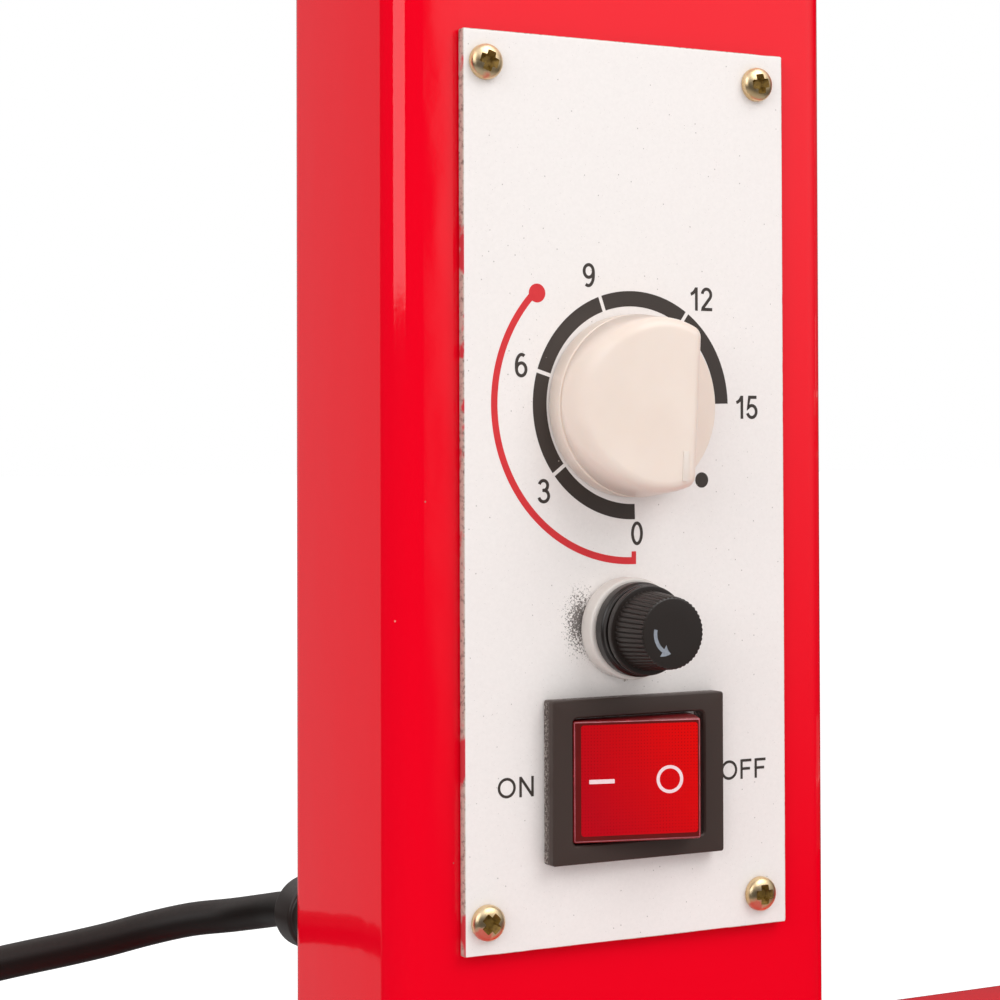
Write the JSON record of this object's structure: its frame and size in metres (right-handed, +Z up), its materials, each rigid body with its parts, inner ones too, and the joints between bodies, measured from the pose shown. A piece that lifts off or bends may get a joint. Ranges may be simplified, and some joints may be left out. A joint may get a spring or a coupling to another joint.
{
  "type": "tire vulcanizer",
  "caption": "Bench tire vulcanizer: steel C-frame with a heated platen, a screw press with a tommy bar, a timer knob, a fuse holder, a rocker switch and a coiled mains cord.",
  "frame": {"origin": "under the middle of the base plate, on the bench", "axes": "+Z up, -Y to the front that carries the control plate, +X from the column towards the screw press"},
  "size_m": [0.3944, 0.2629, 0.4556],
  "materials": {
    "red_enamel": "glossy red enamel",
    "cap_plastic": "moulded black polyethylene",
    "white_plate": "white coated sheet",
    "yellow_zinc": "yellow zinc-plated steel",
    "zinc_can": "zinc-plated sheet",
    "turned_steel": "turned steel",
    "bright_steel": "bright drawn steel",
    "ivory_plastic": "moulded ivory plastic",
    "white_nylon": "translucent nylon",
    "black_nylon": "moulded black nylon",
    "fuse_glass": "clear glass",
    "red_lens": "red translucent polycarbonate",
    "brass_tab": "stamped brass",
    "black_rubber": "black PVC",
    "brown_wire": "brown silicone insulation",
    "blue_wire": "blue silicone insulation",
    "green_wire": "green silicone insulation",
    "fibre_board": "insulating fibre board",
    "mica": "mica sheet",
    "machined_aluminium": "machined aluminium",
    "tie_fabric": "woven strap",
    "nickel_plate": "nickel plate"
  },
  "bodies": {
    "frame": {"base_plate": "red_enamel", "column": "red_enamel", "lower_arm": "red_enamel", "upper_arm": "red_enamel", "column_cap": "cap_plastic", "lower_arm_cap": "cap_plastic", "upper_arm_cap": "cap_plastic", "control_plate": "white_plate", "plate_screw_1": "yellow_zinc", "plate_screw_2": "yellow_zinc", "plate_screw_3": "yellow_zinc", "plate_screw_4": "yellow_zinc", "timer_body": "zinc_can", "timer_screw_1": "yellow_zinc", "timer_screw_2": "yellow_zinc", "fuse_washer": "white_nylon", "fuse_body": "black_nylon", "fuse_nut": "black_nylon", "switch_body": "black_nylon", "switch_terminal_1": "brass_tab", "switch_terminal_2": "brass_tab", "switch_terminal_3": "brass_tab", "cord_gland": "black_rubber", "gland_nut": "black_nylon", "earth_screw": "yellow_zinc", "live_lead": "brown_wire", "neutral_lead": "blue_wire", "earth_lead": "green_wire", "switch_lead": "brown_wire", "timer_lead": "brown_wire", "heater_lead": "brown_wire", "heater_tray": "red_enamel", "heater_insulator": "fibre_board", "heater_element": "mica", "heater_platen": "machined_aluminium", "heater_screw_1": "yellow_zinc", "heater_screw_2": "yellow_zinc", "heater_screw_3": "yellow_zinc", "heater_screw_4": "yellow_zinc", "thermostat": "zinc_can", "spindle_bush": "turned_steel", "power_cord": "black_rubber", "cord_coil": "black_rubber", "cord_tie": "tie_fabric", "plug_body": "black_rubber", "plug_pin_1": "nickel_plate", "plug_pin_2": "nickel_plate"},
    "timer_knob": {"timer_knob": "ivory_plastic", "timer_shaft": "turned_steel"},
    "rocker": {"switch_rocker": "red_lens"},
    "fuse_link": {"glass_fuse": "fuse_glass"},
    "fuse_cap": {"fuse_cap": "black_nylon"},
    "press_head": {"press_pad": "machined_aluminium", "pad_pin": "turned_steel"},
    "spindle": {"press_spindle": "bright_steel"},
    "tommy_bar": {"tommy_bar": "bright_steel", "tommy_ball_1": "cap_plastic", "tommy_ball_2": "cap_plastic"}
  },
  "joints": [
    {"name": "knob_turn", "type": "hinge", "parent": "frame", "child": "timer_knob", "pos_m": [-0.1047, -0.0218, 0.19495], "axis": [0, 1, 0], "range_deg": [0, 315]},
    {"name": "rocker_tip", "type": "hinge", "parent": "frame", "child": "rocker", "pos_m": [-0.1051, -0.01945, 0.13735], "axis": [0, 0, 1], "range_deg": [0, 28.6]},
    {"name": "fuse_pull", "type": "slide", "parent": "frame", "child": "fuse_link", "axis": [0, -1, 0], "range_m": [0, 0.03]},
    {"name": "fuse_twist", "type": "hinge", "parent": "fuse_link", "child": "fuse_cap", "pos_m": [-0.1069, -0.0218, 0.1601], "axis": [0, -1, 0], "range_deg": [0, 90]},
    {"name": "screw_turn", "type": "hinge", "parent": "press_head", "child": "spindle", "pos_m": [0.105, 0, 0.4276], "axis": [0, 0, -1], "range_deg": [0, 5400]},
    {"name": "press_travel", "type": "slide", "parent": "frame", "child": "press_head", "axis": [0, 0, -1], "range_m": [0, 0.06]},
    {"name": "tommy_slide", "type": "slide", "parent": "spindle", "child": "tommy_bar", "axis": [0, 1, 0], "range_m": [-0.048, 0.048]}
  ],
  "couplings": [
    {"joint": "screw_turn", "follows": "press_travel", "rad_per_m": 1570.8}
  ]
}
